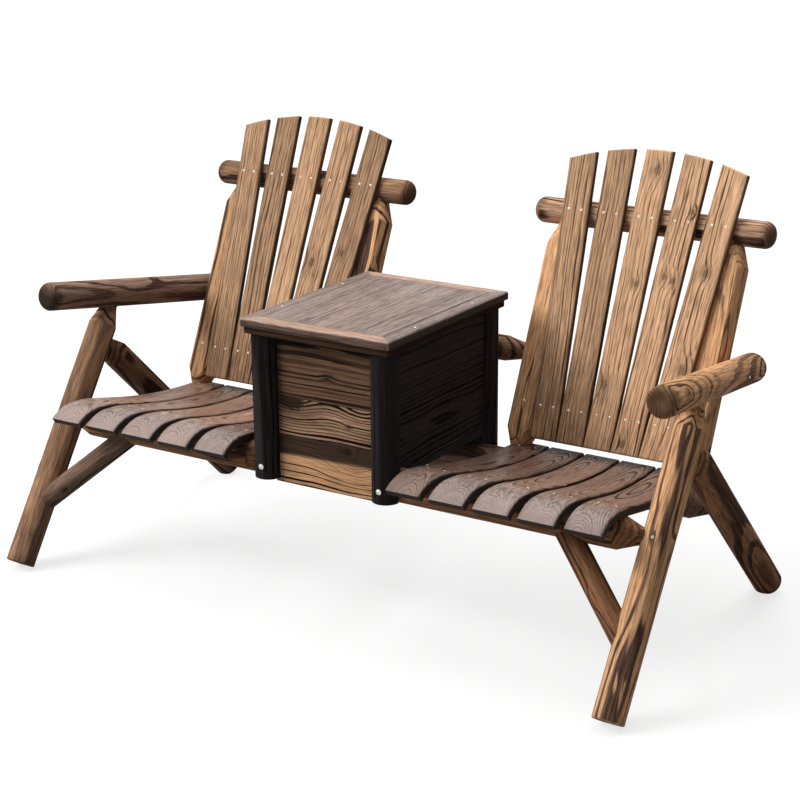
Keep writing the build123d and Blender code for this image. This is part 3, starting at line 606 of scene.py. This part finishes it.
# Tone of each back slat, half a slat's width, and knots as (X, Z, size) of the part
SLAT_TONES = {"right": (0.86, 0.90, 1.13, 1.18, 1.21), "left": (0.65, 0.89, 0.95, 0.68, 0.73)}
SLAT_HALF = 0.0338
SLAT_KNOTS = {
    "right_back_slat_3": ((0.473, 0.952, 0.013), (0.479, 0.712, 0.007), (0.454, 0.497, 0.012)),
    "right_back_slat_4": ((0.579, 0.873, 0.006), (0.543, 0.734, 0.008), (0.565, 0.728, 0.008),
                          (0.529, 0.385, 0.010)),
    "right_back_slat_5": ((0.637, 0.751, 0.008), (0.629, 0.552, 0.013)),
    "left_back_slat_2": ((-0.395, 0.66, 0.013),),
    "left_back_slat_1": ((-0.313, 0.69, 0.008),),
}

# Tone of each seat slat, which also paints a sheen and is highest on the left, and how far it varies, half a
# slat's width, and one slat with less painted sheen at its front end
SEAT_TONES_AND_SHEEN = {"right": (1.05, 1.08, 1.85, 1.42, 1.28), "left": (1.0, 2.0, 1.65, 1.45, 1.8)}
SEAT_VARIES = (0.88, 1.12)
SEAT_HALF = 0.0425
SEAT_SHEEN = {"right_seat_slat_1": {"worn": 0.45}}

# Tones of the box posts and of the lid's side strips
POST_TONES = {"right_front_box_post": 1.05, "right_rear_box_post": 1.5, "left_front_box_post": 1.35,
              "left_rear_box_post": 1.3}
STRIP_TONES = {"right": 1.06, "left": 0.86}

# Looks of the logs that run across the bench, and how far from their middle their knots lie
RAILS = {"front_rail": "rust_log", "rear_rail": "dark_log", "back_stretcher": "brown_log"}
RAIL_KNOT_R = 0.037

# Directions out of the sides of round pieces that show most
LOG_FACE, RAIL_FACE, POST_FACE = (0.5, -0.8, 0.3), (0, -1, 0.3), (0.2, -1, 0)

# Widths of boards that lie side by side in one node
BOX_BOARD = 0.134
LID_PLANK = 0.0632

# Boards of the box's front: half widths, knots and eyes as (X, Z, size) of the part, and the burnt band
BOARD_HALF = {"lower": 0.0575, "middle": 0.0445, "upper": 0.0705}
BOARD_KNOTS = {
    "lower": ((0.051, 0.396, 0.008),),
    "middle": ((-0.092, 0.490, 0.033), (0.062, 0.455, 0.004)),
    "upper": ((0.007, 0.558, 0.007),),
}
BOARD_EYE = {"middle": (0.098, 0.492, 0.028), "lower": (0.070, 0.372, 0.022)}
BOARD_BAND = {"lower": (0.002, 0.012, 1.0)}


def dress_wood():
    """Wood on every wooden node."""
    for place, side in enumerate(SIDES):
        for name, (*looks, radius) in LOGS.items():
            node = f"{side}_{name}"
            look, tone = looks[place]
            wood(nodes[node], look, log_knots(1, half_size(node), radius), knot_depth=1.0, tone=tone,
                 deep=LOG_FACE)
        for number in SLAT_NUMBERS:
            slat = f"{side}_back_slat_{number}"
            wood(nodes[slat], "back_slat", spots=SLAT_KNOTS.get(slat, ()), half_width=SLAT_HALF,
                 tone=SLAT_TONES[side][number - 1], deep=FRONT)
            seat = f"{side}_seat_slat_{number}"
            wood(nodes[seat], "seat_slat", half_width=SEAT_HALF, deep=Z_AXIS,
                 tone=SEAT_TONES_AND_SHEEN[side][number - 1] * random.uniform(*SEAT_VARIES), **SEAT_SHEEN.get(seat, {}))
        for post in (f"{side}_front_box_post", f"{side}_rear_box_post"):
            wood(nodes[post], "box_post", along=Z_AXIS, deep=POST_FACE, tone=POST_TONES[post])
        wood(nodes[f"{side}_box_side_boards"], "box_board", along=Y_AXIS, deep=X_AXIS, board=BOX_BOARD)
        low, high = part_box(f"{side}_lid_side_strip")
        # The edge darkening here paints the shade on the side strip's outer face
        wood(nodes[f"{side}_lid_side_strip"], "lid_plank", along=Y_AXIS, deep=Z_AXIS, edge_burn=1.0,
             half_width=(high.x - low.x) / 2, middle=(low + high) / 2, tone=STRIP_TONES[side])
        wood(nodes[f"{side}_bucket_cleat"], "box_board", deep=Z_AXIS)
    for name, look in RAILS.items():
        wood(nodes[name], look, log_knots(3, half_size(name), RAIL_KNOT_R), knot_depth=1.0, along=X_AXIS,
             deep=RAIL_FACE)
    for name, half in BOARD_HALF.items():
        wood(nodes[f"box_front_{name}_board"], f"{name}_board", spots=BOARD_KNOTS[name],
             eye=BOARD_EYE.get(name), half_width=half, band=BOARD_BAND.get(name, NO_BAND), along=X_AXIS,
             deep=FRONT)
    wood(nodes["box_rear_boards"], "box_board", along=X_AXIS, deep=Y_AXIS, board=BOX_BOARD)
    for name in ("lid_front_strip", "lid_rear_strip"):
        low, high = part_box(name)
        wood(nodes[name], "lid_strip", along=X_AXIS, deep=Z_AXIS, half_width=(high.y - low.y) / 2,
             middle=(low + high) / 2)
    wood(nodes["lid_planks"], "lid_plank", along=Y_AXIS, deep=Z_AXIS, board=LID_PLANK)
    wood(nodes["lid_subframe"], "lid_rail", along=X_AXIS, deep=Z_AXIS)
    wood(nodes["lid_battens"], "lid_plank", along=X_AXIS, deep=Z_AXIS)


# Metals: colour, roughness, and marks a metre along X, Y and Z
STEEL, STEEL_ROUGHNESS, STEEL_BRUSH = (0.62, 0.63, 0.64, 1), 0.28, (40, 40, 900)
ZINC, ZINC_ROUGHNESS, ZINC_SPECKS = (0.74, 0.71, 0.64, 1), 0.30, (420, 420, 420)
DULL = 0.62                 # of the colour, in dull spots
WEAR = (0.35, 0.7)
WEAR_ROUGH = 0.25
METAL_BUMP = {"Strength": 0.12, "Distance": 0.0003}


def metal(name, color, roughness, scratch):
    """Plated or brushed metal with fine uneven wear. Scratch is the scale of its marks along X, Y and Z."""
    material, n, shader = plain_material(name)
    place = n.add("ShaderNodeTexCoord").outputs["Object"]
    marks = n.add("ShaderNodeMapping", {"Vector": place, "Scale": scratch}).outputs[0]
    wear = n.noise(marks, detail=4.0)[0]
    n.feed(shader.inputs["Base Color"], n.mix(n.step(wear, *WEAR), toned(color, DULL), color))
    n.feed(shader.inputs["Roughness"], n.math("MULTIPLY_ADD", wear, WEAR_ROUGH, roughness))
    n.feed(shader.inputs["Normal"], n.add("ShaderNodeBump", METAL_BUMP | {"Height": wear}).outputs[0])
    shader.inputs["Metallic"].default_value = 1.0
    return material


# Screws, sunk until their rims lie on the wood
SCREW_R = 0.0030
SCREW_DOME = 0.0008
RECESS_DEPTH = 0.0009
RECESS_REACH = 0.62         # of the head's radius, as are the next two
RECESS_HALF = 0.16
SCREW_RINGS = (0.12, 0.24, 0.38, 0.52, 0.62, 0.74, 0.88, 1.0)
SCREW_SPOKES = 32
SKIRT_SHARE = 0.9
SKIRT_DEPTH = 0.0015


def screw_head():
    """Points and faces of one screw head about Z, with a cross recess."""
    points = [(0, 0, SCREW_DOME - RECESS_DEPTH)]
    for share in SCREW_RINGS:
        for spoke in range(SCREW_SPOKES):
            angle = 2 * math.pi * spoke / SCREW_SPOKES
            x, y = share * math.cos(angle), share * math.sin(angle)
            height = SCREW_DOME * (1 - share ** 2)
            if share < RECESS_REACH and min(abs(x), abs(y)) < RECESS_HALF:
                height -= RECESS_DEPTH
            points.append((x * SCREW_R, y * SCREW_R, height))
    points += [(x * SKIRT_SHARE, y * SKIRT_SHARE, -SKIRT_DEPTH) for x, y, _ in points[-SCREW_SPOKES:]]
    faces = [(0, 1 + k, 1 + (k + 1) % SCREW_SPOKES) for k in range(SCREW_SPOKES)]
    for ring in range(len(SCREW_RINGS)):
        start = 1 + ring * SCREW_SPOKES
        for k in range(SCREW_SPOKES):
            turn = (k + 1) % SCREW_SPOKES
            faces.append((start + k, start + SCREW_SPOKES + k, start + SCREW_SPOKES + turn, start + turn))
    last = len(points) - SCREW_SPOKES
    faces.append(tuple(range(last + SCREW_SPOKES - 1, last - 1, -1)))
    return np.array(points), faces


HEAD_POINTS, HEAD_FACES = screw_head()


def drive(name, places, body, material):
    """One piece of all the screws at (point, outward direction) places, on a body."""
    points, faces = [], []
    for place, outward in places:
        spin = Matrix.Rotation(random.uniform(0, math.pi), 3, "Z")
        turn = outward.to_track_quat("Z", "Y").to_matrix() @ spin
        start = len(points)
        points += [place + turn @ Vector(p) for p in HEAD_POINTS]
        faces += [tuple(start + k for k in face) for face in HEAD_FACES]
    mesh = bpy.data.meshes.new(name)
    mesh.from_pydata(points, [], faces)
    mesh.shade_smooth()
    piece = add_object(name, mesh)
    dress(piece, material)
    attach(piece, body)


# Places of screws
FRONT_RAIL_Y = sum(b.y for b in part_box("front_rail")) / 2
REAR_RAIL_Y = sum(b.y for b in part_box("rear_rail")) / 2
UPPER_SCREWS_Z = 0.851
LOWER_SCREWS_Z = 0.433
ARM_SCREW_Y, ARM_SCREW_Z = 0.245, 0.555
LEG_SCREW_X, LEG_SCREW_Z = 0.784, 0.345
INNER_SCREW_X, OUTER_SCREW_X = 0.258, 0.678
LID_SCREW_X = 0.176
LID_SCREW_YS = (-0.15, 0.09)
PAIR = (0.26, 0.74)         # shares of a slat's width
ROW_POINTS = 240            # rays that find a slat's sides


def screw_pair(name, y, z, direction):
    """Two hits at shares of a node's width, met by rays from a row of points along X."""
    low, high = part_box(name)
    met = [x for x in np.linspace(low.x, high.x, ROW_POINTS) if struck(name, (x, y, z), direction)]
    left, right = min(met), max(met)
    return [struck(name, (left + (right - left) * share, y, z), direction) for share in PAIR]


def bench_screws():
    """Screws of the slats and of the log joints."""
    places = []
    for side, sign in SIDES.items():
        for number in SLAT_NUMBERS:
            slat = f"{side}_back_slat_{number}"
            for z in (UPPER_SCREWS_Z, LOWER_SCREWS_Z):
                places += screw_pair(slat, AHEAD, z, Y_AXIS)
            seat = f"{side}_seat_slat_{number}"
            for y in (FRONT_RAIL_Y, REAR_RAIL_Y):
                places += screw_pair(seat, y, ABOVE, DOWN)
        for name, origin, direction in (
                ("armrest", (sign * ASIDE, ARM_SCREW_Y, ARM_SCREW_Z), (-sign, 0, 0)),
                ("front_leg", (sign * LEG_SCREW_X, AHEAD, LEG_SCREW_Z), Y_AXIS),
                ("inner_back_post", (sign * INNER_SCREW_X, AHEAD, LOWER_SCREWS_Z), Y_AXIS),
                ("outer_back_post", (sign * OUTER_SCREW_X, AHEAD, LOWER_SCREWS_Z), Y_AXIS)):
            met = struck(f"{side}_{name}", origin, direction)
            if met:
                places.append(met)
    return places


def lid_screws():
    """Screws that hold the side strips of the lid."""
    return [struck(f"{side}_lid_side_strip", (sign * LID_SCREW_X, y, ABOVE), DOWN)
            for side, sign in SIDES.items() for y in LID_SCREW_YS]


def lay_floor():
    """White paper under the part."""
    half = FLOOR_SIZE / 2
    mesh = bpy.data.meshes.new("floor")
    corners = [(-half, -half, 0), (half, -half, 0), (half, half, 0), (-half, half, 0)]
    mesh.from_pydata(corners, [], [(0, 1, 2, 3)])
    floor = add_object("floor", mesh)
    material, n, shader = plain_material("floor_paper")
    shader.inputs["Base Color"].default_value = (FLOOR_TONE, FLOOR_TONE, FLOOR_TONE, 1)
    shader.inputs["Roughness"].default_value = FLOOR_ROUGHNESS
    shader.inputs["Emission Color"].default_value = (1, 1, 1, 1)
    place = n.add("ShaderNodeTexCoord").outputs["Object"]
    away = n.add("ShaderNodeVectorMath", {0: place}, operation="LENGTH")
    glow = n.step(away.outputs["Value"], GLOW_NEAR, GLOW_FAR, NEAR_GLOW, FAR_GLOW)
    n.feed(shader.inputs["Emission Strength"], n.math("MULTIPLY", n.seen(), glow))
    dress(floor, material)


def light_world():
    """A world that looks white and lights the part dimly."""
    world = bpy.data.worlds.new("studio")
    world.use_nodes = True
    world.node_tree.nodes.clear()
    n = Nodes(world.node_tree)
    level = n.math("MULTIPLY_ADD", n.seen(), 1.0 - WORLD_LIGHT, WORLD_LIGHT)
    sky = n.add("ShaderNodeBackground", {"Color": (1, 1, 1, 1), "Strength": level})
    n.add("ShaderNodeOutputWorld", {"Surface": sky.outputs[0]})
    bpy.context.scene.world = world


def hang_lamps():
    """Two soft lights above the part."""
    for name, power, place, size in (("key", KEY_POWER, KEY_PLACE, KEY_SIZE),
                                     ("top", TOP_POWER, TOP_PLACE, TOP_SIZE)):
        lamp = bpy.data.lights.new(name, "AREA")
        lamp.energy = power
        lamp.size = size
        light = add_object(name, lamp)
        light.location = place
        light.rotation_euler = (AIM - place).to_track_quat("-Z", "Y").to_euler()


def set_camera():
    """Camera of the photograph."""
    back = Vector((math.sin(CAMERA_AZIMUTH) * math.cos(CAMERA_DROP),
                   -math.cos(CAMERA_AZIMUTH) * math.cos(CAMERA_DROP), math.sin(CAMERA_DROP)))
    level = Vector((math.cos(CAMERA_AZIMUTH), math.sin(CAMERA_AZIMUTH), 0))
    right = level * math.cos(CAMERA_ROLL) + level.cross(-back) * math.sin(CAMERA_ROLL)
    up = back.cross(right)
    data = bpy.data.cameras.new("camera")
    data.lens = LENS
    data.sensor_width = SENSOR
    camera = add_object("camera", data)
    camera.matrix_world = Matrix.Translation(CAMERA_PLACE) @ Matrix((right, up, back)).transposed().to_4x4()
    bpy.context.scene.camera = camera


dress_wood()
dress(nodes["ice_bucket"], metal("brushed_steel", STEEL, STEEL_ROUGHNESS, STEEL_BRUSH))
zinc = metal("zinc", ZINC, ZINC_ROUGHNESS, ZINC_SPECKS)
dress(nodes["post_bolts"], zinc)
drive("bench_screws", bench_screws(), "bench", zinc)
drive("lid_screws", lid_screws(), "lid", zinc)
bpy.context.scene.view_settings.view_transform = "Standard"
lay_floor()
light_world()
hang_lamps()
set_camera()
